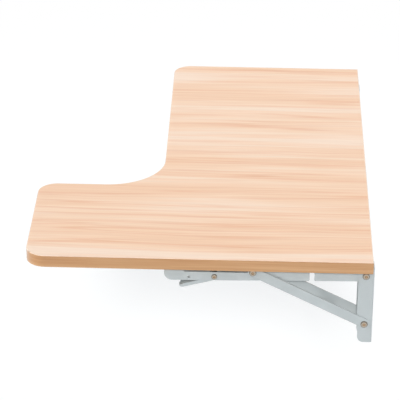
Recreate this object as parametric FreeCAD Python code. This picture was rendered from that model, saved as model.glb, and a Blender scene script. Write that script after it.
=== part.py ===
import FreeCAD, Part
import math
import os

os.makedirs("parts", exist_ok=True)
V = FreeCAD.Vector

# Frame: X runs along the wall, the wall is Y = 0, the room is -Y and Z is up.
# A bracket is drawn about its own hinge: s runs out from the hinge, v up, w along the wall.

# Leaf
LEAF_WIDTH = 700.0  # along the wall
LONG_REACH = 500.0  # reach of the long side from the leaf's rear edge
SHORT_PAST = 11.5  # how far the short side passes the arm
LONG_WIDTH = 236.0  # width of the long side, along the wall
BOARD = 18.0  # board thickness over both laminates
LAMINATE = 0.8  # laminate sheet on each face
BAND = 1.0  # edge band
CORNER_R = 29.0  # outer corners in plan
INNER_R = 88.0  # inner corner in plan
WALL_GAP = 3.0  # wall to the leaf's rear edge

# Bracket channels, nested strut outside leg outside arm
SHEET = 1.5  # sheet steel of arm, leg and strut
SIDE_PLAY = 0.3  # between one channel and the next
BEND_R = 2.0  # outside of a bend
ARM_WIDTH = 24.0
BRACKET_INSET = 31.0  # board end to a bracket's middle
HOLE_PLAY = 0.06  # radial play of every rivet, pin and screw in its hole
OVERCUT = 1.0  # how far a cutting shape passes what it cuts

# Pivots
HINGE_OUT = 12.0  # wall to the hinge and to the strut's pivot
HINGE_DROP = 13.0  # underside to the hinge
STRUT_DROP = 78.0  # hinge to the strut's pivot
SLOT_RISE = 2.8  # slot's middle above the hinge
FOLD_DEG = 86.5  # leaf's swing from level to hanging

# Leg
LEG_DEPTH = 23.0  # wall to the flanges' front edge
FOOT_DEPTH = 21.3  # the same below the strut's pivot
LEG_DROP = 109.0  # hinge to the leg's lower end
FOOT_R = 9.0
WALL_HOLE_R = 2.6
WALL_HOLE_PITCH = 80.0  # top to bottom wall hole
TOP_HOLE_DROP = 17.0  # hinge to the top wall hole
MID_HOLE_DROP = 49.0  # hinge to the middle wall hole

# Arm
ARM_REACH = 303.5  # wall to the arm's end
ARM_ROOT_DEPTH = 22.3  # flange depth at the hinge
ARM_TIP_DEPTH = 26.8  # flange depth at the end
ARM_REAR_PLAY = 1.5  # leg's web to the arm's rear end
ARM_END_R = 12.0
SLIDE_R = 2.5  # slide pin
SLOT_PLAY = 0.05  # slide pin to the slot's edges
REST_PLAY = 0.05  # slide pin to the slot's end with the leaf up
SLOT_TAIL = 31.4  # slide pin to the arm's end with the leaf down
NOTCH_TOP = 4.5  # top of the notch for the strut's rivet, above the hinge
NOTCH_PLAY = 0.55  # rivet to the notch's sides
NOTCH_FLARE = 0.7  # widening of the notch at its mouth
BRIDGE_PLAY = 2.0  # strut's bridge to its recess in the arm
SCREW_FIRST = 25.0  # hinge to the first board screw
SCREW_LAST = 23.0  # last board screw to the arm's end
SCREW_COUNT = 4

# Strut
STRUT_BELOW = 6.9  # pivot line to the lower edge
STRUT_ABOVE = 8.4  # pivot line to the upper edge
STRUT_END = 7.0  # pivot to the strut's lower end
STRUT_TIP_END = 6.5  # slide pin to the strut's upper end
STRUT_TIP_ABOVE = 6.5  # upper edge at the slide pin's end
STRUT_TAPER = 22.0  # length of the lowered end
LIP_PLAY = 0.7  # arm to the strut's lips
LIP_FROM = 34.0  # strut's pivot to the lips
LIP_TO = 120.0
BRIDGE_FROM = 46.0  # strut's pivot to the bridge
BRIDGE_TO = 69.0

# Rivets and screws
RIVET_R = 3.0  # hinge, strut pivot and strut end
RIVET_HEAD_R = 5.25
RIVET_HEAD = 2.0
LEVER_RIVET_R = 2.5
LEVER_HEAD_R = 4.3
LEVER_HEAD = 1.5
DIMPLE = 0.7  # depth of the hollow in a rivet's head
TURN_GAP = 0.1  # rivet head to a face that turns under it
PIN_END_GAP = 0.3  # slide pin to the strut's cheeks
SCREW_R = 2.0
SCREW_LENGTH = 16.0
SCREW_HEAD_R = 4.0
SCREW_HEAD = 2.6

# Release lever
LEVER_SHANK = 55.3  # slide pin with the leaf up to the lever's pivot
LEVER_DROP = 6.9  # the lever's pivot below the hinge
LEVER_WIDTH = 19.2
LEVER_SHEET = 1.2
LEVER_FLOOR = 6.8  # pivot to the floor's underside
HANDLE_LENGTH = 51.3  # pivot to the handle's end, along the arm
HANDLE_SLOPE = 15.2  # degrees below level
HANDLE_WALL = 5.2
HANDLE_NOSE = 8.0  # handle's end to its full walls
HANDLE_LIP = 0.7  # wall left at the handle's end
HANDLE_R = 8.5  # handle's corners in plan
CATCH_GAP = 0.5  # slide pin's path to the catch
CATCH_BEHIND = 0.5  # slide pin's flank to the catch
CATCH_LENGTH = 5.9
CATCH_RAMP = 8.0
EAR_R = 5.0
SHANK_RISE = 3.3  # how much the floor rises to the catch

# Lever spring
WIRE_R = 0.5
COIL_R = 3.3
COIL_PITCH = 1.6
COIL_TURNS = 3  # whole turns, to which the legs' angles add
COIL_START = -3.0  # first turn, from the bracket's middle
ANCHOR_REACH = 36.9  # lever's pivot to the spring's hole
ANCHOR_DROP = 0.9  # the spring's hole below the lever's pivot
ANCHOR_R = 2.0
LEG_REACH = 22.3  # lever's pivot to the leg's end on the floor
WINDOW_HALF = 6.0  # half width of the floor's window under the coil
WINDOW_LENGTH = 6.6  # half length of the window

# Sizes that follow from the others
ARM_HALF = ARM_WIDTH / 2
LEG_HALF = ARM_HALF + SIDE_PLAY + SHEET
STRUT_HALF = LEG_HALF + SIDE_PLAY + SHEET
STRUT_INNER = STRUT_HALF - SHEET
HINGE_Z = TOP_HOLE_DROP + WALL_HOLE_PITCH / 2
UNDERSIDE = HINGE_Z + HINGE_DROP
TOP = UNDERSIDE + BOARD
BRACKET_X = LEAF_WIDTH / 2 - BRACKET_INSET
ARM_END = ARM_REACH - HINGE_OUT
WEB_UNDER = HINGE_DROP - SHEET
FOLD = math.radians(FOLD_DEG)
SHORT_REACH = ARM_REACH + SHORT_PAST - WALL_GAP
SCREW_PITCH = (ARM_END - SCREW_FIRST - SCREW_LAST) / (SCREW_COUNT - 1)
FOLDED_RISE = SLOT_RISE + STRUT_DROP * math.cos(FOLD)
FOLDED_BASE = STRUT_DROP * math.sin(FOLD)
FOLDED_REACH = ARM_END - SLOT_TAIL
STRUT_LENGTH = math.hypot(FOLDED_REACH - FOLDED_BASE, FOLDED_RISE)
LOCK_REACH = math.sqrt(STRUT_LENGTH ** 2 - (STRUT_DROP + SLOT_RISE) ** 2)
STRUT_ANGLE = math.atan2(STRUT_DROP + SLOT_RISE, LOCK_REACH)
LEVER_REACH = LOCK_REACH + LEVER_SHANK
STRUT_SWING = FOLD + STRUT_ANGLE - math.asin(FOLDED_RISE / STRUT_LENGTH)
SLOPE = math.tan(math.radians(HANDLE_SLOPE))
CATCH_TOP = SLOT_RISE - SLIDE_R - CATCH_GAP
HOOK_DROP = ANCHOR_DROP - ANCHOR_R + WIRE_R + HOLE_PLAY  # the hook bears on the top of its hole


def loop(corners, at):
    """Closed wire through flat corners (a, b, radius), placed in space by at(a, b)."""
    spans = []
    count = len(corners)
    for i, (a, b, r) in enumerate(corners):
        if r == 0:
            spans.append(((a, b), None, (a, b)))
            continue
        pa, pb = corners[i - 1][0] - a, corners[i - 1][1] - b
        na, nb = corners[(i + 1) % count][0] - a, corners[(i + 1) % count][1] - b
        lp, ln = math.hypot(pa, pb), math.hypot(na, nb)
        pa, pb, na, nb = pa / lp, pb / lp, na / ln, nb / ln
        half = math.acos(max(-1.0, min(1.0, pa * na + pb * nb))) / 2
        trim = r / math.tan(half)
        ma, mb = pa + na, pb + nb
        reach = (r / math.sin(half) - r) / math.hypot(ma, mb)
        middle = (a + ma * reach, b + mb * reach)
        spans.append(((a + pa * trim, b + pb * trim), middle, (a + na * trim, b + nb * trim)))
    edges = []
    for i, (enter, middle, leave) in enumerate(spans):
        if middle:
            edges.append(Part.Arc(at(*enter), at(*middle), at(*leave)).toShape())
        follow = spans[(i + 1) % count][0]
        if math.hypot(follow[0] - leave[0], follow[1] - leave[1]) > 1e-6:
            edges.append(Part.makeLine(at(*leave), at(*follow)))
    return Part.Wire(edges)


def about_middle(half, near, near_r, far, far_r):
    """Corners of a rectangle about the bracket's middle, from near to far, each end with its own radius."""
    return [(-half, near, near_r), (half, near, near_r), (half, far, far_r), (-half, far, far_r)]


def side_prism(corners, half):
    """Solid with an outline in (s, v), as thick as twice half."""
    return Part.Face(loop(corners, lambda s, v: V(-half, -s, v))).extrude(V(2 * half, 0, 0))


def section_prism(corners, start, end):
    """Solid with an outline in (w, v), from s = start to s = end."""
    return Part.Face(loop(corners, lambda w, v: V(w, -start, v))).extrude(V(0, start - end, 0))


def plan_prism(corners, low, high):
    """Solid with an outline in (w, s), from v = low to v = high."""
    return Part.Face(loop(corners, lambda w, s: V(w, -s, low))).extrude(V(0, 0, high - low))


def cross_pin(radius, half, s, v):
    """Cylinder along the wall about a pivot at (s, v)."""
    return Part.makeCylinder(radius, 2 * half, V(-half, -s, v), V(1, 0, 0))


def flat(corners, low, high):
    """Solid with an outline in (X, Y), between two heights."""
    return Part.Face(loop(corners, lambda x, y: V(x, y, low))).extrude(V(0, 0, high - low))


def leaf_outline(inset):
    """Corners of the leaf's L in (X, Y), drawn in by inset on every side."""
    left, right = inset - LEAF_WIDTH / 2, LEAF_WIDTH / 2 - inset
    inner = LEAF_WIDTH / 2 - LONG_WIDTH + inset
    rear = -WALL_GAP - inset
    short, front = inset - WALL_GAP - SHORT_REACH, inset - WALL_GAP - LONG_REACH
    outer_r = CORNER_R - inset
    inner_r = min(INNER_R, LONG_REACH - SHORT_REACH - CORNER_R - BAND)
    return [
        (right, rear, 0),
        (left, rear, 0),
        (left, short, outer_r),
        (inner, short, inner_r + inset),
        (inner, front, outer_r),
        (right, front, outer_r),
    ]


def screw_places():
    """Distances of the board screws from the hinge."""
    return [SCREW_FIRST + SCREW_PITCH * i for i in range(SCREW_COUNT)]


def screw_points():
    """Points on both brackets' webs where the board screws sit."""
    for x in (-BRACKET_X, BRACKET_X):
        for s in screw_places():
            yield V(x, -HINGE_OUT - s, HINGE_Z + WEB_UNDER)


def leaf_parts():
    """Core, two laminates and two edge bands."""
    holes = [Part.makeCylinder(SCREW_R + HOLE_PLAY, SCREW_LENGTH + HOLE_PLAY, p) for p in screw_points()]
    holes = Part.makeCompound(holes)
    inner = leaf_outline(BAND)
    core = flat(inner, UNDERSIDE + LAMINATE, TOP - LAMINATE).cut(holes)
    top = flat(inner, TOP - LAMINATE, TOP)
    under = flat(inner, UNDERSIDE, UNDERSIDE + LAMINATE).cut(holes)
    block = flat(leaf_outline(0), UNDERSIDE, TOP)
    rims = [e for e in block.Edges if e.BoundBox.ZLength < 1e-6]
    ring = block.makeFillet(BAND / 2, rims).cut(flat(inner, UNDERSIDE - OVERCUT, TOP + OVERCUT))
    strip = Part.makeBox(LEAF_WIDTH, BAND, BOARD, V(-LEAF_WIDTH / 2, -WALL_GAP - BAND, UNDERSIDE))
    return {
        "tabletop_core": core,
        "top_laminate": top,
        "underside_laminate": under,
        "edge_band": ring.cut(strip),
        "rear_edge_band": ring.common(strip),
    }


def wall_leg():
    """Channel on the wall, its web against the wall and its flanges round the arm."""
    wall, front, foot = -HINGE_OUT, LEG_DEPTH - HINGE_OUT, FOOT_DEPTH - HINGE_OUT
    step = -STRUT_DROP - STRUT_BELOW
    side = [
        (wall, -LEG_DROP, 0),
        (foot, -LEG_DROP, FOOT_R),
        (foot, step - LEG_DEPTH / 3, 0),
        (front, step, 0),
        (front, front, front),
        (wall, front, 0),
    ]
    inside = LEG_HALF - SHEET
    inner_r = BEND_R - SHEET
    far = LEG_DEPTH + HINGE_OUT
    hull = about_middle(LEG_HALF, wall, BEND_R, far, 0)
    room = about_middle(inside, wall + SHEET, inner_r, far, 0)
    low, high = -LEG_DROP - OVERCUT, front + OVERCUT
    leg = side_prism(side, LEG_HALF).common(plan_prism(hull, low, high)).cut(plan_prism(room, low, high))
    leg = leg.cut(cross_pin(RIVET_R + HOLE_PLAY, LEG_HALF + OVERCUT, 0, 0))
    leg = leg.cut(cross_pin(RIVET_R + HOLE_PLAY, LEG_HALF + OVERCUT, 0, -STRUT_DROP))
    for drop in (TOP_HOLE_DROP, MID_HOLE_DROP, TOP_HOLE_DROP + WALL_HOLE_PITCH):
        hole_from = V(0, HINGE_OUT + OVERCUT, -drop)
        leg = leg.cut(Part.makeCylinder(WALL_HOLE_R, SHEET + 2 * OVERCUT, hole_from, V(0, -1, 0)))
    return leg


def arm_low(s):
    """Height of the arm's lower edge at s."""
    return HINGE_DROP - ARM_ROOT_DEPTH - (ARM_TIP_DEPTH - ARM_ROOT_DEPTH) * s / ARM_END


def support_arm():
    """Channel under the board, open downwards, closed at its outer end."""
    rear = SHEET + ARM_REAR_PLAY - HINGE_OUT
    rear_r = 0.85 * min(-rear, -arm_low(rear))  # nearly a half round about the hinge
    side = [
        (rear, HINGE_DROP, 0),
        (rear, arm_low(rear), rear_r),
        (ARM_END, arm_low(ARM_END), ARM_END_R),
        (ARM_END, HINGE_DROP, BEND_R),
    ]
    inside = ARM_HALF - SHEET
    inner_r = BEND_R - SHEET
    deep = -2 * ARM_TIP_DEPTH
    mouth = ARM_END - ARM_END_R
    room_end = ARM_END - SHEET
    room_side = [
        (rear - OVERCUT, WEB_UNDER, 0),
        (room_end, WEB_UNDER, inner_r),
        (room_end, arm_low(ARM_END) + SHEET, ARM_END_R - SHEET),
        (mouth, arm_low(ARM_END) + SHEET, 0),
        (mouth, deep, 0),
        (rear - OVERCUT, deep, 0),
    ]
    hull = about_middle(ARM_HALF, HINGE_DROP, BEND_R, deep, 0)
    room = about_middle(inside, WEB_UNDER, inner_r, deep, 0)
    plan = about_middle(ARM_HALF, rear, 0, ARM_END, BEND_R)
    arm = side_prism(side, ARM_HALF).common(section_prism(hull, rear, ARM_END))
    arm = arm.common(plan_prism(plan, deep, HINGE_DROP))
    arm = arm.cut(side_prism(room_side, inside).common(section_prism(room, rear - OVERCUT, room_end)))
    grip = SLIDE_R + SLOT_PLAY
    round_end, square_end = 0.9 * grip, 0.3 * grip
    slot = [
        (LOCK_REACH - SLIDE_R - REST_PLAY, SLOT_RISE - grip, round_end),
        (FOLDED_REACH + SLIDE_R + REST_PLAY, SLOT_RISE - grip, square_end),
        (FOLDED_REACH + SLIDE_R + REST_PLAY, SLOT_RISE + grip, square_end),
        (LOCK_REACH - SLIDE_R - REST_PLAY, SLOT_RISE + grip, round_end),
    ]
    side_w = RIVET_R + NOTCH_PLAY
    mouth_w = side_w + NOTCH_FLARE
    notch_r = 0.8 * side_w
    flare_top = arm_low(FOLDED_BASE) + 4 * NOTCH_FLARE
    notch = [
        (FOLDED_BASE - mouth_w, deep, 0),
        (FOLDED_BASE + mouth_w, deep, 0),
        (FOLDED_BASE + mouth_w, arm_low(FOLDED_BASE) - OVERCUT, 0),
        (FOLDED_BASE + side_w, flare_top, 0),
        (FOLDED_BASE + side_w, NOTCH_TOP, notch_r),
        (FOLDED_BASE - side_w, NOTCH_TOP, notch_r),
        (FOLDED_BASE - side_w, flare_top, 0),
        (FOLDED_BASE - mouth_w, arm_low(FOLDED_BASE) - OVERCUT, 0),
    ]
    folded_tilt = FOLDED_RISE / STRUT_LENGTH
    bridge_top = -STRUT_DROP * math.cos(FOLD) - STRUT_BELOW + SHEET + folded_tilt * BRIDGE_TO + BRIDGE_PLAY
    recess_from = FOLDED_BASE + BRIDGE_FROM - BRIDGE_PLAY
    recess_to = FOLDED_BASE + BRIDGE_TO + BRIDGE_PLAY
    recess = [
        (recess_from, deep, 0),
        (recess_to, deep, 0),
        (recess_to, bridge_top, BRIDGE_PLAY),
        (recess_from, bridge_top, BRIDGE_PLAY),
    ]
    for cut in (slot, notch, recess):
        arm = arm.cut(side_prism(cut, ARM_HALF + OVERCUT))
    arm = arm.cut(cross_pin(RIVET_R + HOLE_PLAY, ARM_HALF + OVERCUT, 0, 0))
    arm = arm.cut(cross_pin(LEVER_RIVET_R + HOLE_PLAY, ARM_HALF + OVERCUT, LEVER_REACH, -LEVER_DROP))
    anchor = (LEVER_REACH + ANCHOR_REACH, -LEVER_DROP - ANCHOR_DROP)
    arm = arm.cut(cross_pin(ANCHOR_R, ARM_HALF + OVERCUT, *anchor))
    for s in screw_places():
        arm = arm.cut(Part.makeCylinder(SCREW_R + HOLE_PLAY, 3 * SHEET, V(0, -s, WEB_UNDER - SHEET)))
    return arm


def strut():
    """Channel from the leg to the slide pin, open upwards, with a short floor and two lips."""
    tip = STRUT_LENGTH + STRUT_TIP_END
    low_r, tip_r, root_r = 0.85 * STRUT_BELOW, 0.85 * STRUT_TIP_ABOVE, 0.85 * STRUT_END
    side = [
        (-STRUT_END, -STRUT_BELOW, low_r),
        (tip, -STRUT_BELOW, low_r),
        (tip, STRUT_TIP_ABOVE, tip_r),
        (STRUT_LENGTH - STRUT_TAPER, STRUT_ABOVE, 0),
        (-STRUT_END, STRUT_ABOVE, root_r),
    ]
    floor = SHEET - STRUT_BELOW
    inner_r = BEND_R - SHEET
    high = 2 * STRUT_ABOVE
    start, end = -2 * STRUT_END, STRUT_LENGTH + 2 * STRUT_END
    hull = about_middle(STRUT_HALF, -STRUT_BELOW, BEND_R, high, 0)
    room = about_middle(STRUT_INNER, floor, inner_r, high, 0)
    body = side_prism(side, STRUT_HALF).common(section_prism(hull, start, end))
    body = body.cut(section_prism(room, start, end))
    lip = ARM_HALF + LIP_PLAY
    openings = [
        about_middle(STRUT_INNER, start, 0, LIP_FROM, BEND_R),
        about_middle(lip, LIP_FROM - OVERCUT, 0, BRIDGE_FROM, BEND_R),
        about_middle(lip, BRIDGE_TO, BEND_R, LIP_TO + OVERCUT, 0),
        about_middle(STRUT_INNER, LIP_TO, BEND_R, end, 0),
    ]
    for opening in openings:
        body = body.cut(plan_prism(opening, -2 * STRUT_BELOW, 0))
    for pivot in (0, STRUT_LENGTH):
        body = body.cut(cross_pin(RIVET_R + HOLE_PLAY, STRUT_HALF + OVERCUT, pivot, 0))
    return on_strut(body)


def on_strut(shape):
    """A shape drawn along the strut, turned and moved to the strut's place."""
    shape.rotate(V(0, 0, 0), V(1, 0, 0), -math.degrees(STRUT_ANGLE))
    shape.translate(V(0, 0, -STRUT_DROP))
    return shape


def turned_about_x(corners):
    """Turned solid about X from corners (x, radius, fillet)."""
    return Part.Face(loop(corners, lambda x, r: V(x, 0, r))).revolve(V(0, 0, 0), V(1, 0, 0), 360)


def rivet_head(seat, head_r, head):
    """Corners of a dimpled head standing on the face at seat, from its rim to the axis."""
    end = seat + head
    crown_r, lip_r = 0.75 * head, 0.3 * DIMPLE
    mouth, bed = 0.45 * head_r, 0.35 * head_r  # radii of the hollow
    return [
        (seat, head_r, 0),
        (end, head_r, crown_r),
        (end, mouth, lip_r),
        (end - DIMPLE, bed, 0),
        (end - DIMPLE, 0, 0),
    ]


def rivet(shank_r, seat, head_r, head):
    """Rivet about X with a head at each end."""
    right = [(seat, shank_r, 0)] + rivet_head(seat, head_r, head)
    left = [(-x, r, f) for x, r, f in reversed(right)]
    return turned_about_x(left + right)


def strut_end_rivets():
    """Two short rivets, each a head on one cheek of the strut and a shank that fills its hole."""
    corners = [(STRUT_INNER, 0, 0), (STRUT_INNER, RIVET_R, 0), (STRUT_HALF, RIVET_R, 0)]
    right = turned_about_x(corners + rivet_head(STRUT_HALF, RIVET_HEAD_R, RIVET_HEAD))
    left = right.mirror(V(0, 0, 0), V(1, 0, 0))
    pair = Part.makeCompound([right, left])
    pair.translate(V(0, -STRUT_LENGTH, 0))
    return on_strut(pair)


def slide_pin():
    """Plain pin through both slots of the arm."""
    half = STRUT_INNER - PIN_END_GAP
    ease = 0.2 * SLIDE_R
    corners = [
        (-half, 0, 0),
        (-half, SLIDE_R - ease, 0),
        (ease - half, SLIDE_R, 0),
        (half - ease, SLIDE_R, 0),
        (half, SLIDE_R - ease, 0),
        (half, 0, 0),
    ]
    pin = turned_about_x(corners)
    pin.translate(V(0, -LOCK_REACH, SLOT_RISE))
    return pin


def board_screw():
    """Pan head screw, its head's seat at the origin and its point up."""
    point, blunt = 2 * SCREW_R, 0.1 * SCREW_R
    pan_r = 0.7 * SCREW_HEAD
    profile = [
        (0, -SCREW_HEAD, 0),
        (SCREW_HEAD_R, -SCREW_HEAD, pan_r),
        (SCREW_HEAD_R, 0, 0),
        (SCREW_R, 0, 0),
        (SCREW_R, SCREW_LENGTH - point, 0),
        (blunt, SCREW_LENGTH, 0),
        (0, SCREW_LENGTH, 0),
    ]
    face = Part.Face(loop(profile, lambda r, z: V(r, 0, z)))
    screw = face.revolve(V(0, 0, 0), V(0, 0, 1), 360)
    wide, thin = 0.6 * SCREW_HEAD_R, 0.12 * SCREW_HEAD_R  # half sizes of the cross recess
    depth = 0.55 * SCREW_HEAD
    for a, b in ((wide, thin), (thin, wide)):
        recess_from = V(-a, -b, -SCREW_HEAD - OVERCUT)
        screw = screw.cut(Part.makeBox(2 * a, 2 * b, depth + OVERCUT, recess_from))
    return screw


def board_screws():
    """The screws of one arm."""
    screws = []
    for s in screw_places():
        screw = board_screw()
        screw.translate(V(0, -s, WEB_UNDER))
        screws.append(screw)
    return Part.makeCompound(screws)


def lever_floor(p):
    """Height of the lever's underside at p from its pivot, in the hinge's frame."""
    low = -LEVER_DROP - LEVER_FLOOR
    if p > 0:
        return low - p * SLOPE
    return low - p * SHANK_RISE / (LEVER_REACH - LOCK_REACH)


def release_lever():
    """Pressed tray inside the arm: handle outside its pivot, catch beside the slide pin."""
    begin = LOCK_REACH + SLIDE_R + CATCH_BEHIND
    inner = begin - LEVER_REACH
    lean = HANDLE_WALL * math.sin(math.radians(HANDLE_SLOPE))
    rise = HANDLE_WALL * math.cos(math.radians(HANDLE_SLOPE))
    tip = HANDLE_LENGTH
    sheet_v = LEVER_SHEET / math.cos(math.radians(HANDLE_SLOPE))

    def at(p, v, r):
        return (LEVER_REACH + p, v, r)

    def wall_top(p):
        return lever_floor(p - lean) + rise

    ear_top, ear_r = EAR_R - LEVER_DROP, 0.6 * EAR_R
    lip_r, nose_r = 0.4 * LEVER_SHEET, 0.5 * HANDLE_NOSE
    shank_top = lever_floor(-2 * EAR_R) + HANDLE_WALL + LEVER_SHEET
    side = [
        at(inner, lever_floor(inner), 0),
        at(0, lever_floor(0), 0),
        at(tip, lever_floor(tip), lip_r),
        at(tip, lever_floor(tip) + sheet_v + HANDLE_LIP, lip_r),
        at(tip - HANDLE_NOSE, wall_top(tip - HANDLE_NOSE), nose_r),
        at(2 * EAR_R, wall_top(2 * EAR_R), 0),
        at(EAR_R, ear_top, ear_r),
        at(-EAR_R, ear_top, ear_r),
        at(-2 * EAR_R, shank_top, 0),
        at(inner + CATCH_LENGTH + CATCH_RAMP, shank_top, 0),
        at(inner + CATCH_LENGTH, CATCH_TOP, 0),
        at(inner, CATCH_TOP, 0),
    ]
    half = LEVER_WIDTH / 2
    inside = half - LEVER_SHEET
    end = LEVER_REACH + tip
    outer_plan = about_middle(half, begin, 0, end, HANDLE_R)
    room_plan = about_middle(inside, begin - OVERCUT, 0, end - LEVER_SHEET, HANDLE_R - LEVER_SHEET)
    low, high = -3 * ARM_TIP_DEPTH, ARM_TIP_DEPTH
    before, past = inner - 2 * OVERCUT, tip + 2 * OVERCUT
    above = [
        at(before, lever_floor(before) + LEVER_SHEET, 0),
        at(0, lever_floor(0) + sheet_v, 0),
        at(past, lever_floor(past) + sheet_v, 0),
        at(past, high, 0),
        at(before, high, 0),
    ]
    lever = side_prism(side, half).common(plan_prism(outer_plan, low, high))
    lever = lever.cut(side_prism(above, half + OVERCUT).common(plan_prism(room_plan, low, high)))
    lever = lever.cut(cross_pin(LEVER_RIVET_R + HOLE_PLAY, half + OVERCUT, LEVER_REACH, -LEVER_DROP))
    window_from, window_to = LEVER_REACH - WINDOW_LENGTH, LEVER_REACH + WINDOW_LENGTH
    window = about_middle(WINDOW_HALF, window_from, LEVER_SHEET, window_to, LEVER_SHEET)
    return lever.cut(plan_prism(window, low, -LEVER_DROP))


def tangent_arc(p0, t0, p1):
    """Arc from p0, leaving along t0, to p1."""
    chord = p1 - p0
    along = V(chord).normalize()
    turn = math.acos(max(-1.0, min(1.0, t0.dot(along))))
    side = (t0 - along * t0.dot(along)).normalize()
    return Part.Arc(p0, p0 + chord * 0.5 + side * (chord.Length / 2 * math.tan(turn / 2)), p1).toShape()


def biarc(p0, t0, p1, t1):
    """Two arcs that join p0 and p1 with the end directions t0 and t1."""
    v, t = p1 - p0, t0 + t1
    k = 2 * (1 - t0.dot(t1))
    d = (math.sqrt(v.dot(t) ** 2 + k * v.dot(v)) - v.dot(t)) / k
    q0, q1 = p0 + t0 * d, p1 - t1 * d
    joint = (q0 + q1) * 0.5
    return [tangent_arc(p0, t0, joint), tangent_arc(joint, (q1 - q0).normalize(), p1)]


def spring_path():
    """Edges of the spring's middle line: leg on the lever, coil, leg to the arm, hook."""
    leg_low = lever_floor(LEG_REACH) + LEVER_SHEET / math.cos(math.radians(HANDLE_SLOPE))
    leg_v = leg_low + (WIRE_R + HOLE_PLAY) / math.cos(math.radians(HANDLE_SLOPE)) + LEVER_DROP
    leg_far = math.hypot(LEG_REACH, leg_v)
    leg_dir = math.atan2(leg_v, LEG_REACH) - math.asin(COIL_R / leg_far)
    anchor_far = math.hypot(ANCHOR_REACH, HOOK_DROP)
    anchor_dir = math.atan2(-HOOK_DROP, ANCHOR_REACH) + math.asin(COIL_R / anchor_far)
    first = leg_dir + math.pi / 2
    last = anchor_dir - math.pi / 2 + 2 * math.pi * (COIL_TURNS + 1)
    lead = COIL_PITCH / (2 * math.pi)

    def point(angle):
        out, up = COIL_R * math.cos(angle), COIL_R * math.sin(angle)
        return V(COIL_START + lead * (angle - first), -LEVER_REACH - out, up - LEVER_DROP)

    def heading(angle):
        return V(lead, COIL_R * math.sin(angle), COIL_R * math.cos(angle)).normalize()

    leg_length = math.sqrt(leg_far ** 2 - COIL_R ** 2)
    anchor_length = math.sqrt(anchor_far ** 2 - COIL_R ** 2)
    flatness = COIL_R / math.hypot(COIL_R, lead)
    edges = [Part.makeLine(point(first) - heading(first) * (leg_length / flatness), point(first))]
    steps = int(math.ceil((last - first) / (math.pi / 2)))
    for i in range(steps):
        a = first + (last - first) * i / steps
        b = first + (last - first) * (i + 1) / steps
        edges += biarc(point(a), heading(a), point(b), heading(b))
    bend = 4 * WIRE_R
    way = heading(last)
    knee = point(last) + way * (anchor_length / flatness)
    trim = bend * math.tan(way.getAngle(V(1, 0, 0)) / 2)
    edges.append(Part.makeLine(point(last), knee - way * trim))
    out = knee + V(trim, 0, 0)
    edges.append(tangent_arc(knee - way * trim, way, out))
    edges.append(Part.makeLine(out, V(ARM_HALF - WIRE_R, out.y, out.z)))
    return edges


def least_self_gap(edges):
    """Least clear gap between stretches of the spring that aren't neighbours, on points along it."""
    points, travel = [], 0.0
    for edge in edges:
        count = max(4, int(edge.Length / 0.25))
        for i, p in enumerate(edge.discretize(count)[:-1]):
            points.append((travel + edge.Length * i / (count - 1), p))
        travel += edge.Length
    least = 1e9
    for i, (a, p) in enumerate(points):
        for b, q in points[i + 1:]:
            if b - a > 3 * COIL_R:
                least = min(least, p.distanceToPoint(q))
    return least - 2 * WIRE_R


def lever_spring():
    """Torsion spring on the lever's rivet, as one round wire."""
    edges = spring_path()
    start, way = edges[0].Vertexes[0].Point, edges[0].tangentAt(edges[0].FirstParameter)
    pipe = Part.BRepOffsetAPI.MakePipeShell(Part.Wire(edges))
    pipe.add(Part.Wire(Part.makeCircle(WIRE_R, start, way)))
    pipe.build()
    pipe.makeSolid()
    print("spring: least gap to itself %.3f mm" % least_self_gap(edges))
    return pipe.shape()


def placed(shape, s, v):
    """A shape drawn about the origin, moved to a pivot at (s, v)."""
    shape.translate(V(0, -s, v))
    return shape


def bracket_parts():
    """Every piece of one bracket about its own hinge."""
    strut_rivet = rivet(RIVET_R, STRUT_HALF + TURN_GAP, RIVET_HEAD_R, RIVET_HEAD)
    lever_rivet = rivet(LEVER_RIVET_R, ARM_HALF, LEVER_HEAD_R, LEVER_HEAD)
    return {
        "wall_leg": wall_leg(),
        "support_arm": support_arm(),
        "strut": strut(),
        "release_lever": release_lever(),
        "slide_pin": slide_pin(),
        "hinge_rivet": rivet(RIVET_R, LEG_HALF, RIVET_HEAD_R, RIVET_HEAD),
        "strut_rivet": placed(strut_rivet, 0, -STRUT_DROP),
        "lever_rivet": placed(lever_rivet, LEVER_REACH, -LEVER_DROP),
        "strut_end_rivets": strut_end_rivets(),
        "board_screws": board_screws(),
        "lever_spring": lever_spring(),
    }


def save(name, shape):
    """Write one node and say what it holds."""
    valid = all(solid.isValid() for solid in shape.Solids)
    print("%-24s solids %d valid %s volume %.1f" % (name, len(shape.Solids), valid, shape.Volume))
    shape.exportStep("parts/%s.step" % name)


def main():
    for name, shape in leaf_parts().items():
        save(name, shape)
    for name, shape in bracket_parts().items():
        for hand, x in (("right", BRACKET_X), ("left", -BRACKET_X)):
            copy = shape.copy()
            copy.translate(V(x, -HINGE_OUT, HINGE_Z))
            save("%s_%s" % (hand, name), copy)
    print("strut swing %.4f deg, ratio %.6f" % (math.degrees(STRUT_SWING), STRUT_SWING / FOLD))
    travel = FOLDED_REACH - LOCK_REACH
    print("slide travel %.4f mm, ratio %.6f mm per rad" % (travel, travel / FOLD))


main()
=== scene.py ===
import logging
import math
from dataclasses import dataclass
from enum import Enum
from typing import Any

import bmesh
import bpy
from mathutils import Matrix, Vector


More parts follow.
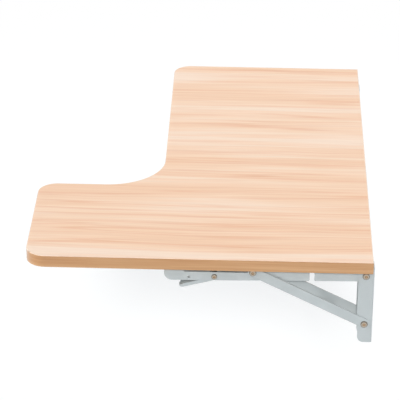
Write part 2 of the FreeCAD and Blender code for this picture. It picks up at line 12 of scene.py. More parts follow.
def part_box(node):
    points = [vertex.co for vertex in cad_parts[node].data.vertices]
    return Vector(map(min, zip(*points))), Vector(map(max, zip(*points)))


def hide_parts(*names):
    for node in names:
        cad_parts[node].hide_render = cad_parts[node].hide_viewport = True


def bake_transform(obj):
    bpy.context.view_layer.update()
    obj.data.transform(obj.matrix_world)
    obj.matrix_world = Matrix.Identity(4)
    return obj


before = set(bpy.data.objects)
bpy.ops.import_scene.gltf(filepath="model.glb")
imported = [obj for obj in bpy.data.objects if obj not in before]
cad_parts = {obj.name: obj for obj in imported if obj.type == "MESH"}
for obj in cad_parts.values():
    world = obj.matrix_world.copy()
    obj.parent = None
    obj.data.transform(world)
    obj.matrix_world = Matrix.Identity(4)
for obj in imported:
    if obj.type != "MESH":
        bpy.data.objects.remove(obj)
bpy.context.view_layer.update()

log = logging.getLogger("drop_leaf_table")
MM = 0.001
WHITE = "FFFFFF"
NOISE_SPAN = (0.3, 0.7)  # most of a noise texture's values lie between these
NOISE_MIDDLE = 0.5
COATING_IOR = 1.5  # melamine, lacquer and enamel


class Hand(Enum):
    """Side of the leaf that a bracket carries, as seen by a person who faces the wall."""

    RIGHT = "right"
    LEFT = "left"


def linear(code: str) -> tuple[float, float, float, float]:
    """Turns an sRGB hex colour into the linear colour that shaders take.

    Args:
        code: Six hex digits.

    Returns:
        Red, green, blue and alpha.
    """
    parts = [int(code[i : i + 2], 16) / 255 for i in (0, 2, 4)]
    red, green, blue = (c / 12.92 if c <= 0.04045 else ((c + 0.055) / 1.055) ** 2.4 for c in parts)
    return red, green, blue, 1.0


def add_node(
    tree: bpy.types.NodeTree,
    kind: str,
    settings: dict[str, Any] | None = None,
    values: dict[str | int, Any] | None = None,
    links: dict[str | int, bpy.types.NodeSocket] | None = None,
) -> bpy.types.Node:
    """Adds one node.

    Args:
        tree: Node tree that takes it.
        kind: Blender's name of the node type.
        settings: Properties of the node.
        values: Unlinked input values, by socket name or number.
        links: Sockets that feed its inputs, by socket name or number.

    Returns:
        The new node.
    """
    node = tree.nodes.new(kind)
    for name, value in (settings or {}).items():
        setattr(node, name, value)
    for socket, value in (values or {}).items():
        node.inputs[socket].default_value = value
    for socket, source in (links or {}).items():
        tree.links.new(source, node.inputs[socket])
    return node


def add_ramp(
    tree: bpy.types.NodeTree, level: bpy.types.NodeSocket, *stops: tuple[float, str]
) -> bpy.types.NodeSocket:
    """Adds a colour ramp.

    Args:
        tree: Node tree that takes it.
        level: Socket that chooses the colour.
        stops: Positions from 0 to 1 with their sRGB hex colours.

    Returns:
        Socket of the colour.
    """
    node = add_node(tree, "ShaderNodeValToRGB", links={"Fac": level})
    marks = node.color_ramp.elements
    while len(marks) < len(stops):
        marks.new(1.0)
    for mark, (position, code) in zip(marks, stops):
        mark.position = position
        mark.color = linear(code)
    return node.outputs["Color"]


def mix_colours(
    tree: bpy.types.NodeTree,
    share: bpy.types.NodeSocket | float,
    first: bpy.types.NodeSocket | str,
    second: bpy.types.NodeSocket | str,
    kind: str = "MIX",
) -> bpy.types.NodeSocket:
    """Mixes two colours.

    Args:
        tree: Node tree that takes the node.
        share: Share of the second colour, from 0 to 1.
        first: Socket or sRGB hex colour.
        second: Socket or sRGB hex colour.
        kind: Blender's name of the way to mix.

    Returns:
        Socket of the mixed colour.
    """
    values: dict[str | int, Any] = {}
    links: dict[str | int, bpy.types.NodeSocket] = {}
    # A mix node's inputs 0, 6 and 7 are its factor and its two colours, and output 2 is the mixed colour.
    for socket, source in ((0, share), (6, first), (7, second)):
        if isinstance(source, bpy.types.NodeSocket):
            links[socket] = source
        elif isinstance(source, str):
            values[socket] = linear(source)
        else:
            values[socket] = source
    node = add_node(tree, "ShaderNodeMix", {"data_type": "RGBA", "blend_type": kind}, values, links)
    return node.outputs[2]


def add_noise(
    tree: bpy.types.NodeTree,
    place: bpy.types.NodeSocket,
    size_mm: tuple[float, float, float],
    detail: float,
    rough: float,
) -> bpy.types.NodeSocket:
    """Adds a noise of a real size.

    Args:
        tree: Node tree that takes it.
        place: Coordinates in millimetres.
        size_mm: Size of one cloud along X, Y and Z.
        detail: Number of finer layers in it.
        rough: Strength of the finer layers.

    Returns:
        Socket of the noise.
    """
    scaled = add_node(
        tree,
        "ShaderNodeMapping",
        values={"Scale": tuple(1 / size for size in size_mm)},
        links={"Vector": place},
    )
    noise = add_node(
        tree,
        "ShaderNodeTexNoise",
        values={"Scale": 1.0, "Detail": detail, "Roughness": rough},
        links={"Vector": scaled.outputs["Vector"]},
    )
    return noise.outputs["Fac"]


def roughen(
    tree: bpy.types.NodeTree,
    shader: bpy.types.Node,
    noise: bpy.types.NodeSocket,
    ends: tuple[float, float],
    span: tuple[float, float] = NOISE_SPAN,
) -> None:
    """Lets a shader's roughness follow a noise.

    Args:
        tree: Node tree of both.
        shader: Principled shader.
        noise: Socket of the noise.
        ends: Roughness at the low and at the high end of the noise.
        span: The noise's low and high end.
    """
    level = add_node(
        tree,
        "ShaderNodeMapRange",
        values={"From Min": span[0], "From Max": span[1], "To Min": ends[0], "To Max": ends[1]},
        links={"Value": noise},
    )
    tree.links.new(level.outputs["Result"], shader.inputs["Roughness"])


def emboss(
    tree: bpy.types.NodeTree,
    shader: bpy.types.Node,
    height: bpy.types.NodeSocket,
    strength: float,
    depth_mm: float,
) -> None:
    """Gives a shader a fine relief.

    Args:
        tree: Node tree of the shader.
        shader: Principled shader.
        height: Socket that the relief follows.
        strength: Strength of the relief, from 0 to 1.
        depth_mm: Depth of the relief.
    """
    relief = add_node(
        tree,
        "ShaderNodeBump",
        values={"Strength": strength, "Distance": depth_mm * MM},
        links={"Height": height},
    )
    tree.links.new(relief.outputs["Normal"], shader.inputs["Normal"])


def start_material(name: str) -> tuple[bpy.types.Material, bpy.types.Node, bpy.types.NodeSocket]:
    """Starts a material with a Principled shader and the piece's own coordinates in millimetres.

    Args:
        name: Name of the real material.

    Returns:
        The material, its shader and the socket of the coordinates.
    """
    material = bpy.data.materials.new(name)
    material.use_nodes = True
    tree = material.node_tree
    place = add_node(tree, "ShaderNodeTexCoord")
    metric = add_node(
        tree,
        "ShaderNodeMapping",
        values={"Scale": (1 / MM, 1 / MM, 1 / MM)},
        links={"Vector": place.outputs["Object"]},
    )
    return material, tree.nodes["Principled BSDF"], metric.outputs["Vector"]


@dataclass(frozen=True)
class Drift:
    """Slow wandering of printed lines over a sheet, in millimetres."""

    reach: float  # how far the lines are carried sideways
    wide: float  # size of one wave across the lines
    long: float  # size of one wave along the lines
    detail: float = 1.0
    rough: float = 0.35


@dataclass(frozen=True)
class GrainLayer:
    """One kind of mark in a printed wood figure."""

    width_mm: float  # across the grain
    stretch: float  # length along the grain, in widths
    detail: float  # number of finer marks in it
    rough: float = 0.55  # strength of the finer marks


@dataclass(frozen=True)
class BeechPrint:
    """Melamine faced sheet with a printed beech figure.

    It is satin, with pale bands and fine lines that run out from the wall.
    """

    name: str
    warm: str = "F5CCAA"
    middle: str = "F9D5B6"
    pale: str = "FBE0C8"
    tones: tuple[float, float, float] = (0.57, 0.71, 0.86)  # noise at which those three are reached
    line: str = "E8A87D"
    thread: str = "F9F5F2"  # tint of the darkest fibres
    thread_tones: tuple[float, float] = (0.3, 0.6)  # noise at which that tint ends and white is reached
    bands: GrainLayer = GrainLayer(40.0, 16.0, 2.0)
    streaks: GrainLayer = GrainLayer(7.0, 60.0, 2.5)
    streak_share: float = 0.45  # strength of the soft streaks beside the bands
    rings: GrainLayer = GrainLayer(15.0, 42.0, 1.5)  # growth lines
    ring_half: float = 0.05  # half of the noise that a growth line takes up
    ring_strength: float = 0.46
    crowding: tuple[float, float] = (0.4, 0.62)  # noise of the bands between which growth lines grow fainter
    ring_rest: float = 0.08  # share of a growth line that is left in the pale bands
    fibres: GrainLayer = GrainLayer(2.2, 40.0, 2.0)  # real fibres are under 1 mm wide and wouldn't show
    swirl: Drift = Drift(34.0, 95.0, 440.0)
    wiggle: Drift = Drift(7.0, 45.0, 130.0)
    depth_mm: float = 20.0  # size of the marks through the sheet, so that they hardly change in it
    cut_mm: tuple[float, float] = (-15.0, 100.0)  # where it is cut from the printed roll, across and along
    satin: tuple[float, float] = (0.38, 0.5)  # roughness
    relief: tuple[float, float] = (0.25, 0.05)  # strength, and depth in millimetres, of the pressed fibres

    def build(self) -> bpy.types.Material:
        """Makes the material.

        Returns:
            The finished material.
        """
        material, shader, metric = start_material(self.name)
        tree = material.node_tree
        roll = add_node(
            tree,
            "ShaderNodeMapping",
            values={"Location": (*self.cut_mm, 0)},
            links={"Vector": metric},
        ).outputs["Vector"]
        parts = add_node(tree, "ShaderNodeSeparateXYZ", links={"Vector": roll})
        across = parts.outputs["X"]
        for drift in (self.swirl, self.wiggle):
            size = (drift.wide, drift.long, self.depth_mm)
            wave = add_noise(tree, roll, size, drift.detail, drift.rough)
            across = add_node(
                tree,
                "ShaderNodeMath",
                {"operation": "MULTIPLY_ADD"},
                {1: drift.reach},
                {0: wave, 2: across},
            ).outputs["Value"]
        grain = add_node(
            tree,
            "ShaderNodeCombineXYZ",
            links={"X": across, "Y": parts.outputs["Y"], "Z": parts.outputs["Z"]},
        ).outputs["Vector"]
        noises: list[bpy.types.NodeSocket] = []
        for layer in (self.bands, self.streaks, self.rings, self.fibres):
            size = (layer.width_mm, layer.width_mm * layer.stretch, self.depth_mm)
            noises.append(add_noise(tree, grain, size, layer.detail, layer.rough))
        bands, streaks, rings, fibres = noises
        # The ground: broad bands with soft streaks in them.
        mixed = add_node(
            tree,
            "ShaderNodeMath",
            {"operation": "MULTIPLY_ADD"},
            {1: self.streak_share},
            {0: streaks, 2: bands},
        )
        ground = add_ramp(tree, mixed.outputs["Value"], *zip(self.tones, (self.warm, self.middle, self.pale)))
        # Growth lines lie where the ring noise crosses its middle, and gather in the warm bands.
        away = add_node(tree, "ShaderNodeMath", {"operation": "SUBTRACT"}, {1: NOISE_MIDDLE}, {0: rings})
        off = add_node(tree, "ShaderNodeMath", {"operation": "ABSOLUTE"}, links={0: away.outputs["Value"]})
        drawn = add_node(
            tree,
            "ShaderNodeMapRange",
            {"interpolation_type": "SMOOTHSTEP"},
            {"From Min": 0.0, "From Max": self.ring_half, "To Min": self.ring_strength, "To Max": 0.0},
            {"Value": off.outputs["Value"]},
        )
        strong, faint = self.crowding
        crowd = add_node(
            tree,
            "ShaderNodeMapRange",
            values={"From Min": strong, "From Max": faint, "To Min": 1.0, "To Max": self.ring_rest},
            links={"Value": bands},
        )
        share = add_node(
            tree,
            "ShaderNodeMath",
            {"operation": "MULTIPLY"},
            links={0: drawn.outputs["Result"], 1: crowd.outputs["Result"]},
        )
        lined = mix_colours(tree, share.outputs["Value"], ground, self.line)
        thread = add_ramp(tree, fibres, *zip(self.thread_tones, (self.thread, WHITE)))
        woven = mix_colours(tree, 1.0, lined, thread, "MULTIPLY")
        tree.links.new(woven, shader.inputs["Base Color"])
        roughen(tree, shader, fibres, self.satin)
        emboss(tree, shader, fibres, *self.relief)
        shader.inputs["IOR"].default_value = COATING_IOR
        return material


@dataclass(frozen=True)
class EdgeTape:
    """Lacquered edge tape in the same print, darker than the faces: fine lines that run along the edge."""

    name: str = "beech_print_edge_tape"
    dark: str = "B3804F"
    middle: str = "BD8D5D"
    light: str = "C7996C"
    tones: tuple[float, float, float] = (0.58, 0.75, 0.92)  # noise at which those three are reached
    rim: str = "F8DBC2"  # painted highlight: paler colour where the tape rounds over upwards to the faces
    rounding: tuple[float, float] = (0.3, 0.75)  # upward turn at which the painted highlight begins and is full
    line_mm: float = 1.5  # height of a line
    run_mm: float = 110.0  # length of a line
    band_mm: float = 6.0  # height of a band of lines
    band_run_mm: float = 330.0  # length of a band
    detail: float = 3.0
    rough: float = 0.6
    line_share: float = 0.5  # strength of the lines beside the bands
    satin: tuple[float, float] = (0.34, 0.46)  # roughness
    relief: tuple[float, float] = (0.3, 0.05)  # strength, and depth in millimetres, of the lines
    lacquer: float = 1.0  # clear coat over the print
    lacquer_rough: float = 0.22

    def build(self) -> bpy.types.Material:
        """Makes the material.

        Returns:
            The finished material.
        """
        material, shader, metric = start_material(self.name)
        tree = material.node_tree
        lines = add_noise(tree, metric, (self.run_mm, self.run_mm, self.line_mm), self.detail, self.rough)
        wide = (self.band_run_mm, self.band_run_mm, self.band_mm)
        bands = add_noise(tree, metric, wide, self.detail, self.rough)
        blend = add_node(
            tree,
            "ShaderNodeMath",
            {"operation": "MULTIPLY_ADD"},
            {1: self.line_share},
            {0: lines, 2: bands},
        )
        tone = add_ramp(tree, blend.outputs["Value"], *zip(self.tones, (self.dark, self.middle, self.light)))
        place = add_node(tree, "ShaderNodeTexCoord")
        facing = add_node(tree, "ShaderNodeSeparateXYZ", links={"Vector": place.outputs["Normal"]})
        begin, full = self.rounding
        upward = add_node(
            tree,
            "ShaderNodeMapRange",
            {"interpolation_type": "SMOOTHSTEP"},
            {"From Min": begin, "From Max": full},
            {"Value": facing.outputs["Z"]},
        )
        # Painted highlight: the tape's colour turns paler where its surface faces upwards, over its top
        # arris.
        tape_with_painted_highlight = mix_colours(tree, upward.outputs["Result"], tone, self.rim)
        tree.links.new(tape_with_painted_highlight, shader.inputs["Base Color"])
        roughen(tree, shader, lines, self.satin)
        emboss(tree, shader, lines, *self.relief)
        shader.inputs["IOR"].default_value = COATING_IOR
        shader.inputs["Coat Weight"].default_value = self.lacquer
        shader.inputs["Coat Roughness"].default_value = self.lacquer_rough
        return material


@dataclass(frozen=True)
class Chipboard:
    """Pressed wood particles under the laminate: dull, with pale and brown flakes."""

    name: str = "wood_chipboard"
    dark: str = "9C7145"
    light: str = "D9B583"
    tones: tuple[float, float] = (0.1, 0.8)  # level at which those two are reached
    flake_mm: float = 3.5
    flatness: float = 3.0  # width of a flake over its thickness
    dullness: float = 0.85
    relief: tuple[float, float] = (0.6, 0.3)  # strength, and depth in millimetres, of the flakes

    def build(self) -> bpy.types.Material:
        """Makes the material.

        Returns:
            The finished material.
        """
        material, shader, metric = start_material(self.name)
        tree = material.node_tree
        scaled = add_node(
            tree,
            "ShaderNodeMapping",
            values={"Scale": (1 / self.flake_mm, 1 / self.flake_mm, self.flatness / self.flake_mm)},
            links={"Vector": metric},
        )
        flakes = add_node(
            tree, "ShaderNodeTexVoronoi", values={"Scale": 1.0}, links={"Vector": scaled.outputs["Vector"]}
        )
        tone = add_ramp(tree, flakes.outputs["Color"], *zip(self.tones, (self.dark, self.light)))
        tree.links.new(tone, shader.inputs["Base Color"])
        emboss(tree, shader, flakes.outputs["Distance"], *self.relief)
        shader.inputs["Roughness"].default_value = self.dullness
        return material


@dataclass(frozen=True)
class BakedPaint:
    """Pale grey stove enamel on pressed sheet steel: smooth, half gloss, with a faint orange peel."""

    name: str = "grey_baked_enamel"
    low: str = "B3B9B9"
    high: str = "BBC1C1"
    cloud_mm: float = 30.0  # width of the soft differences in tone
    cloud_detail: float = 3.0
    peel_mm: float = 1.6  # real orange peel is finer and wouldn't show
    peel_detail: float = 1.0
    rough: float = 0.5  # strength of the finer layers of both
    gloss: tuple[float, float] = (0.3, 0.4)  # roughness
    relief: tuple[float, float] = (0.2, 0.05)  # strength, and depth in millimetres, of the orange peel

    def build(self) -> bpy.types.Material:
        """Makes the material.

        Returns:
            The finished material.
        """
        material, shader, metric = start_material(self.name)
        tree = material.node_tree
        cloud = add_noise(tree, metric, (self.cloud_mm,) * 3, self.cloud_detail, self.rough)
        peel = add_noise(tree, metric, (self.peel_mm,) * 3, self.peel_detail, self.rough)
        tone = add_ramp(tree, cloud, *zip(NOISE_SPAN, (self.low, self.high)))
        tree.links.new(tone, shader.inputs["Base Color"])
        roughen(tree, shader, cloud, self.gloss)
        emboss(tree, shader, peel, *self.relief)
        shader.inputs["IOR"].default_value = COATING_IOR
        return material


@dataclass(frozen=True)
class BareMetal:
    """Plated or drawn metal: a clear tint, cloudy where the plating dulled, with fine marks of its making."""

    name: str
    bright: str
    dull: str
    tones: tuple[float, float] = (0.35, 0.6)  # noise at which it is dull and bright
    smooth: float = 0.25  # roughness where it is bright
    rough: float = 0.42  # roughness where it has dulled
    span: tuple[float, float] = (0.35, 0.65)  # noise between which the roughness changes
    cloud_mm: float = 2.5
    cloud_detail: float = 3.0
    mark_mm: float = 0.5
    mark_detail: float = 2.0
    fine: float = 0.55  # strength of the finer layers of both
    relief: tuple[float, float] = (0.25, 0.03)  # strength, and depth in millimetres, of the marks

    def build(self) -> bpy.types.Material:
        """Makes the material.

        Returns:
            The finished material.
        """
        material, shader, metric = start_material(self.name)
        tree = material.node_tree
        cloud = add_noise(tree, metric, (self.cloud_mm,) * 3, self.cloud_detail, self.fine)
        marks = add_noise(tree, metric, (self.mark_mm,) * 3, self.mark_detail, self.fine)
        tone = add_ramp(tree, cloud, *zip(self.tones, (self.dull, self.bright)))
        tree.links.new(tone, shader.inputs["Base Color"])
        roughen(tree, shader, cloud, (self.rough, self.smooth), self.span)
        emboss(tree, shader, marks, *self.relief)
        shader.inputs["Metallic"].default_value = 1.0
        return material


@dataclass(frozen=True)
class RivetPlating:
    """Nickel flashed copper rivet.

    Its rounded head is bright, and warmer where the setting tool pressed through to the copper.
    """

    name: str
    axis_y: float  # the rivet's axis, in millimetres
    axis_z: float
    head_r: float
    centre: str = "AC9276"
    lip: str = "BAAA97"
    crown: str = "B8AEA0"
    # darker towards the edge of the head
    rim: str = "8E867A"
    tones: tuple[float, float, float, float] = (0.38, 0.52, 0.68, 0.98)  # way out to each of those four
    wear: float = 0.16  # how far the tones waver
    cloud_mm: float = 1.2
    detail: float = 3.0
    fine: float = 0.55  # strength of the finer layers
    gloss: tuple[float, float] = (0.16, 0.3)  # roughness
    relief: tuple[float, float] = (0.2, 0.03)  # strength, and depth in millimetres, of the marks

    def build(self) -> bpy.types.Material:
        """Makes the material.

        Returns:
            The finished material.
        """
        material, shader, metric = start_material(self.name)
        tree = material.node_tree
        ring = add_node(
            tree,
            "ShaderNodeMapping",
            values={
                "Location": (0, -self.axis_y / self.head_r, -self.axis_z / self.head_r),
                "Scale": (0, 1 / self.head_r, 1 / self.head_r),
            },
            links={"Vector": metric},
        )
        out = add_node(
            tree, "ShaderNodeVectorMath", {"operation": "LENGTH"}, links={0: ring.outputs["Vector"]}
        )
        cloud = add_noise(tree, metric, (self.cloud_mm,) * 3, self.detail, self.fine)
        worn = add_node(
            tree,
            "ShaderNodeMath",
            {"operation": "MULTIPLY_ADD"},
            {1: self.wear},
            {0: cloud, 2: out.outputs["Value"]},
        )
        shades = (self.centre, self.lip, self.crown, self.rim)
        tone = add_ramp(tree, worn.outputs["Value"], *zip(self.tones, shades))
        tree.links.new(tone, shader.inputs["Base Color"])
        roughen(tree, shader, cloud, self.gloss)
        emboss(tree, shader, cloud, *self.relief)
        shader.inputs["Metallic"].default_value = 1.0
        return material


def turned_size(node: str) -> tuple[float, float, float]:
    """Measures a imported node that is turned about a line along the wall.

    Args:
        node: Name of the node.

    Returns:
        Y and Z of its axis and its largest radius, in millimetres.
    """
    low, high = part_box(node)
    middle = (low + high) / (2 * MM)
    return middle.y, middle.z, (high.z - low.z) / (2 * MM)


def dress(node: str, material: bpy.types.Material) -> None:
    """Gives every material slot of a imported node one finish.

    Args:
        node: Name of the node.
        material: The finish.
    """
    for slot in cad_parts[node].material_slots:
        slot.material = material
    log.info("%s dressed in %s", node, material.name)


@dataclass
class Leaf:
    """The board: core, two laminate sheets and the edge tape round it."""

    top: BeechPrint = BeechPrint("beech_print_laminate")
    under: BeechPrint = BeechPrint(
        "beech_print_backing",
        bands=GrainLayer(38.0, 16.0, 2.0),
        swirl=Drift(50.0, 95.0, 440.0),
    )
    tape: EdgeTape = EdgeTape()
    core: Chipboard = Chipboard()

    def dress(self) -> None:
        """Gives the board's nodes their finishes."""
        tape = self.tape.build()
        dress("top_laminate", self.top.build())
        dress("underside_laminate", self.under.build())
        dress("edge_band", tape)
        dress("rear_edge_band", tape)
        dress("tabletop_core", self.core.build())


def middle_of(ring: list[bmesh.types.BMEdge]) -> Vector:
    """Finds the middle of a ring of edges.

    Args:
        ring: The edges.

    Returns:
        Mean of their ends.
    """
    return sum((vert.co for edge in ring for vert in edge.verts), Vector()) / (2 * len(ring))


@dataclass
class LeverSpring:
    """Torsion spring on a release lever's rivet.

    The wire goes from a leg on the lever through the coil and along the arm to a hook in the arm's hole.
    Sizes are in millimetres, with the coil's axis along the wall.
    """

    hand: Hand
    middle: float  # bracket's middle along the wall
    pivot_y: float  # lever's pivot
    pivot_z: float
    wire_r: float = 0.5
    coil_r: float = 3.3
    pitch: float = 1.6
    start: float = -3.0  # first turn, from the bracket's middle
    held: float = 2.7  # last turn, which stays with the arm, from the bracket's middle
    leg_angle: float = -0.592536  # slope of the lever's leg, radians
    leg_length: float = 24.661
    arm_angle: float = 0.104174  # slope of the arm's leg, radians
    arm_length: float = 36.756
    whole_turns: int = 4
    bend_r: float = 2.0
    bend_steps: int = 8
    hook_end: float = 11.5  # hook's end, from the bracket's middle
    steps_a_turn: int = 40
    sides: int = 14

    @property
    def lead(self) -> float:
        """Way along the coil's axis for each radian."""
        return self.pitch / (2 * math.pi)

    def heading(self, angle: float) -> Vector:
        """Direction of the wire at an angle round the coil.

        Args:
            angle: Radians from the room side, rising upwards.

        Returns:
            Unit vector.
        """
        along = Vector((self.lead, self.coil_r * math.sin(angle), self.coil_r * math.cos(angle)))
        return along.normalized()

    def build(self, steel: bpy.types.Material) -> bpy.types.Object:
        """Winds the wire and puts it on the lever's rivet.

        Args:
            steel: Finish of the wire.

        Returns:
            The spring.
        """
        data = bpy.data.meshes.new(f"{self.hand.value}_wound_spring")
        mesh = self.wind()
        mesh.to_mesh(data)
        mesh.free()
        data.materials.append(steel)
        spring = bpy.data.objects.new(data.name, data)
        bpy.context.scene.collection.objects.link(spring)
        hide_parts(f"{self.hand.value}_lever_spring")
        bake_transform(spring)
        log.info("%s wound with %d faces", spring.name, len(data.polygons))
        return spring

    def wind(self) -> bmesh.types.BMesh:
        """Draws the wire from its free end to its hook.

        Returns:
            Mesh of the wire, in metres.
        """
        first = self.leg_angle + math.pi / 2
        last = self.arm_angle - math.pi / 2 + 2 * math.pi * self.whole_turns
        sweep = last - first
        flatness = self.coil_r / math.hypot(self.coil_r, self.lead)
        pivot = Vector((self.middle + self.start, self.pivot_y, self.pivot_z))
        on_coil = pivot + Vector((0, -self.coil_r * math.cos(first), self.coil_r * math.sin(first)))
        way = self.heading(first)
        free_end = on_coil - way * (self.leg_length / flatness)

        mesh = bmesh.new()
        turn = way.to_track_quat("Z", "Y").to_matrix().to_4x4()
        ring = bmesh.ops.create_circle(
            mesh,
            cap_ends=True,
            radius=self.wire_r,
            segments=self.sides,
            matrix=Matrix.Translation(free_end) @ turn,
        )["verts"]
        edges = list({edge for vert in ring for edge in vert.link_edges})
        edges = self.draw(mesh, edges, on_coil - free_end)
        steps = round(self.steps_a_turn * sweep / (2 * math.pi))
        edges = self.swing(mesh, edges, pivot, Vector((-1, 0, 0)), sweep, steps, self.lead * sweep / steps)
        way = self.heading(last)
        out = Vector((1, 0, 0))
        corner = way.angle(out)
        trim = self.bend_r * math.tan(corner / 2)
        edges = self.draw(mesh, edges, way * (self.arm_length / flatness - trim))
        inward = (out - way * way.dot(out)).normalized()
        bend = middle_of(edges) + inward * self.bend_r
        edges = self.swing(mesh, edges, bend, way.cross(inward), corner, self.bend_steps, 0.0)
        edges = self.draw(mesh, edges, out * (self.middle + self.hook_end - middle_of(edges).x))
        bmesh.ops.holes_fill(mesh, edges=edges, sides=0)
        bmesh.ops.scale(mesh, vec=(MM, MM, MM), verts=mesh.verts)
        bmesh.ops.recalc_face_normals(mesh, faces=mesh.faces)
        for face in mesh.faces:
            face.smooth = len(face.verts) == 4  # the caps at the two ends stay flat
        return mesh

    def draw(
        self, mesh: bmesh.types.BMesh, edges: list[bmesh.types.BMEdge], step: Vector
    ) -> list[bmesh.types.BMEdge]:
        """Draws the wire's open end straight on.

        Args:
            mesh: Mesh of the wire.
            edges: Edges of its open end.
            step: Way to go.

        Returns:
            Edges of the new open end.
        """
        made = bmesh.ops.extrude_edge_only(mesh, edges=edges)["geom"]
        verts = [item for item in made if isinstance(item, bmesh.types.BMVert)]
        bmesh.ops.translate(mesh, vec=step, verts=verts)
        lines = [item for item in made if isinstance(item, bmesh.types.BMEdge)]
        return [line for line in lines if all(vert in verts for vert in line.verts)]

    def swing(
        self,
        mesh: bmesh.types.BMesh,
        edges: list[bmesh.types.BMEdge],
        centre: Vector,
        axis: Vector,
        angle: float,
        steps: int,
        rise: float,
    ) -> list[bmesh.types.BMEdge]:
        """Bends the wire's open end round an axis.

        Args:
            mesh: Mesh of the wire.
            edges: Edges of its open end.
            centre: Point on the axis.
            axis: Direction of the axis.
            angle: Radians to turn.
            steps: Stretches to make.
            rise: Way along X at each step.

        Returns:
            Edges of the new open end.
        """
        verts = list({vert for edge in edges for vert in edge.verts})
        made = bmesh.ops.spin(
            mesh,
            geom=verts + edges,
            cent=centre,
            axis=axis,
            dvec=Vector((rise, 0, 0)),
            angle=angle,
            steps=steps,
            use_duplicate=False,
        )["geom_last"]
        return [item for item in made if isinstance(item, bmesh.types.BMEdge)]


@dataclass
class FoldingBracket:
    """One bracket: leg on the wall, arm under the leaf, strut, release lever, pins and rivets."""

    hand: Hand

    def dress(
        self,
        enamel: bpy.types.Material,
        platings: dict[str, bpy.types.Material],
        zinc: bpy.types.Material,
        wire: bpy.types.Material,
    ) -> None:
        """Gives the bracket's nodes their finishes and winds its spring.

        Args:
            enamel: Paint of the pressed channels and the lever.
            platings: Plating of each kind of rivet.
            zinc: Plating of the pin and the screws.
            wire: Bare steel of the spring.
        """
        for piece in ("wall_leg", "support_arm", "strut", "release_lever"):
            dress(f"{self.hand.value}_{piece}", enamel)
        for piece, plating in platings.items():
            dress(f"{self.hand.value}_{piece}", plating)
        for piece in ("slide_pin", "board_screws"):
            dress(f"{self.hand.value}_{piece}", zinc)
        low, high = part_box(f"{self.hand.value}_wall_leg")
        middle = (low.x + high.x) / (2 * MM)
        pivot_y, pivot_z, _ = turned_size(f"{self.hand.value}_lever_rivet")
        LeverSpring(self.hand, middle, pivot_y, pivot_z).build(wire)


@dataclass(frozen=True)
class SoftLamp:
    """Soft lamp so far off that its light is even over the table."""

    name: str
    source: tuple[float, float, float]  # where it stands, seen from the table
    level: float  # brightness that a white surface square to it gets
    span: float  # degrees that it covers

    def build(self) -> None:
        """Makes the lamp."""
        data = bpy.data.lights.new(self.name, "SUN")
        data.energy = self.level * math.pi
        data.angle = math.radians(self.span)
        lamp = bpy.data.objects.new(self.name, data)
        lamp.rotation_mode = "QUATERNION"
        lamp.rotation_quaternion = Vector(self.source).to_track_quat("Z", "Y")
        lamp.location = self.source
        lamp.visible_glossy = False  # gloss shows the white surround, and no hot spots
        bpy.context.scene.collection.objects.link(lamp)


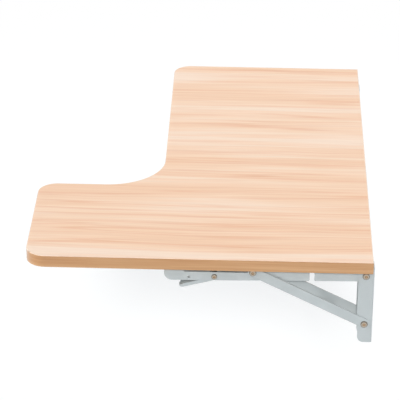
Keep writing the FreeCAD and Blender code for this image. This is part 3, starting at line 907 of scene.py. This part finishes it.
@dataclass
class Studio:
    """Pale floor well below the table, a white surround and four soft lamps round the table."""

    floor_y: float = -0.25  # middle of the floor, under the leaf
    floor_z: float = -0.66
    floor_r: float = 9.0
    floor_sides: int = 64
    floor_tint: str = "BCBCBA"
    floor_rough: float = 0.9
    white_from: float = 1.3  # distance at which the floor begins to pass into the white surround
    white_to: float = 2.6
    lift: float = 0.52  # brings the lit floor up to white where it is seen
    fill: float = 0.2  # level of the surround's light on the object
    cool: str = "CCE0FA"  # tint of that light
    key: SoftLamp = SoftLamp("room_key", (0.35, -2.0, 0.7), 0.73, 40.0)
    front: SoftLamp = SoftLamp("front_fill", (2.83, -0.06, 1.66), 0.7, 7.0)
    rear: SoftLamp = SoftLamp("wall_side_fill", (0.5, 2.5, 1.1), 0.29, 40.0)
    far: SoftLamp = SoftLamp("far_end_fill", (-2.4, 0.5, 0.9), 0.36, 40.0)

    def build(self) -> None:
        """Makes the floor, the lamps and the surround."""
        self.lay_floor()
        for lamp in (self.key, self.front, self.rear, self.far):
            lamp.build()
        world = bpy.data.worlds.new("white_surround")
        world.use_nodes = True
        tree = world.node_tree
        seen = self.seen_rays(tree)
        level = add_node(
            tree, "ShaderNodeMapRange", values={"To Min": self.fill, "To Max": 1.0}, links={"Value": seen}
        )
        tint = mix_colours(tree, seen, self.cool, WHITE)
        surround = tree.nodes["Background"]
        tree.links.new(tint, surround.inputs["Color"])
        tree.links.new(level.outputs["Result"], surround.inputs["Strength"])
        bpy.context.scene.world = world
        bpy.context.scene.view_settings.view_transform = "Standard"

    def seen_rays(self, tree: bpy.types.NodeTree) -> bpy.types.NodeSocket:
        """Marks rays that come straight from the camera, from gloss or through glass.

        Args:
            tree: Node tree that takes the nodes.

        Returns:
            Socket that is 1 on those rays and 0 on the rest.
        """
        path = add_node(tree, "ShaderNodeLightPath")
        direct = add_node(
            tree,
            "ShaderNodeMath",
            {"operation": "MAXIMUM"},
            links={0: path.outputs["Is Camera Ray"], 1: path.outputs["Is Glossy Ray"]},
        )
        return add_node(
            tree,
            "ShaderNodeMath",
            {"operation": "MAXIMUM"},
            links={0: direct.outputs["Value"], 1: path.outputs["Is Transmission Ray"]},
        ).outputs["Value"]

    def lay_floor(self) -> None:
        """Makes the floor."""
        mesh = bmesh.new()
        bmesh.ops.create_circle(
            mesh,
            cap_ends=True,
            radius=self.floor_r,
            segments=self.floor_sides,
            matrix=Matrix.Translation((0, self.floor_y, self.floor_z)),
        )
        data = bpy.data.meshes.new("floor")
        mesh.to_mesh(data)
        mesh.free()
        data.materials.append(self.floor_finish())
        floor = bpy.data.objects.new("floor", data)
        bpy.context.scene.collection.objects.link(floor)

    def floor_finish(self) -> bpy.types.Material:
        """Makes the floor's finish, which shows the table's shadow near it and turns white further out.

        Returns:
            The finished material, which is clear from below.
        """
        material = bpy.data.materials.new("matt_white_floor")
        material.use_nodes = True
        tree = material.node_tree
        shader = tree.nodes["Principled BSDF"]
        shader.inputs["Base Color"].default_value = linear(self.floor_tint)
        shader.inputs["Roughness"].default_value = self.floor_rough
        place = add_node(tree, "ShaderNodeTexCoord")
        flat = add_node(
            tree,
            "ShaderNodeMapping",
            values={"Location": (0, -self.floor_y, 0), "Scale": (1, 1, 0)},
            links={"Vector": place.outputs["Object"]},
        )
        far = add_node(
            tree, "ShaderNodeVectorMath", {"operation": "LENGTH"}, links={0: flat.outputs["Vector"]}
        )
        fade = add_node(
            tree,
            "ShaderNodeMapRange",
            {"interpolation_type": "SMOOTHSTEP"},
            {"From Min": self.white_from, "From Max": self.white_to},
            {"Value": far.outputs["Value"]},
        )
        seen = self.seen_rays(tree)
        white = add_node(
            tree, "ShaderNodeMath", {"operation": "MULTIPLY"}, links={0: fade.outputs["Result"], 1: seen}
        )
        lifted = add_node(tree, "ShaderNodeMath", {"operation": "MULTIPLY"}, {1: self.lift}, {0: seen})
        shader.inputs["Emission Color"].default_value = linear(WHITE)
        tree.links.new(lifted.outputs["Value"], shader.inputs["Emission Strength"])
        glow = add_node(tree, "ShaderNodeEmission", values={"Color": linear(WHITE), "Strength": 1.0})
        passing = add_node(
            tree,
            "ShaderNodeMixShader",
            links={0: white.outputs["Value"], 1: shader.outputs["BSDF"], 2: glow.outputs["Emission"]},
        )
        below = add_node(tree, "ShaderNodeNewGeometry")
        clear = add_node(tree, "ShaderNodeBsdfTransparent")
        one_sided = add_node(
            tree,
            "ShaderNodeMixShader",
            links={0: below.outputs["Backfacing"], 1: passing.outputs["Shader"], 2: clear.outputs["BSDF"]},
        )
        tree.links.new(one_sided.outputs["Shader"], tree.nodes["Material Output"].inputs["Surface"])
        return material


@dataclass
class PhotoCamera:
    """Camera with the photograph's place, direction and lens, from its solved perspective."""

    place: tuple[float, float, float] = (3.144999, -0.180637, 1.585158)
    yaw: float = 0.0255679
    pitch: float = 0.4648538
    roll: float = 0.0102352
    lens: float = 199.694
    sensor: float = 36.0
    nearest: float = 0.05  # what is nearer or farther than these isn't seen
    farthest: float = 60.0

    def build(self) -> None:
        """Makes the camera and the scene's view of it."""
        data = bpy.data.cameras.new("photo_camera")
        data.lens = self.lens
        data.sensor_width = self.sensor
        data.clip_start = self.nearest
        data.clip_end = self.farthest
        camera = bpy.data.objects.new("photo_camera", data)
        bpy.context.scene.collection.objects.link(camera)
        camera.matrix_world = (
            Matrix.Translation(self.place)
            @ Matrix.Rotation(math.pi / 2 + self.yaw, 4, "Z")
            @ Matrix.Rotation(math.pi / 2 - self.pitch, 4, "X")
            @ Matrix.Rotation(self.roll, 4, "Z")
        )
        bpy.context.scene.camera = camera


def main() -> None:
    """Builds the camera, the studio and every dressed piece in order."""
    logging.basicConfig(level=logging.INFO, format="%(name)s: %(message)s")
    PhotoCamera().build()
    Studio().build()
    Leaf().dress()
    enamel = BakedPaint().build()
    platings: dict[str, bpy.types.Material] = {}
    for piece in ("hinge_rivet", "strut_rivet", "strut_end_rivets", "lever_rivet"):
        size = turned_size(f"{Hand.RIGHT.value}_{piece}")
        platings[piece] = RivetPlating(f"nickelled_copper_{piece}", *size).build()
    zinc = BareMetal("zinc_plated_steel", bright="C9CCCE", dull="9DA2A4", smooth=0.3, rough=0.45).build()
    wire = BareMetal(
        "oil_tempered_spring_steel", bright="6A6965", dull="403F3C", smooth=0.34, mark_mm=0.3
    ).build()
    for hand in Hand:
        FoldingBracket(hand).dress(enamel, platings, zinc, wire)


if __name__ == "__main__":
    main()
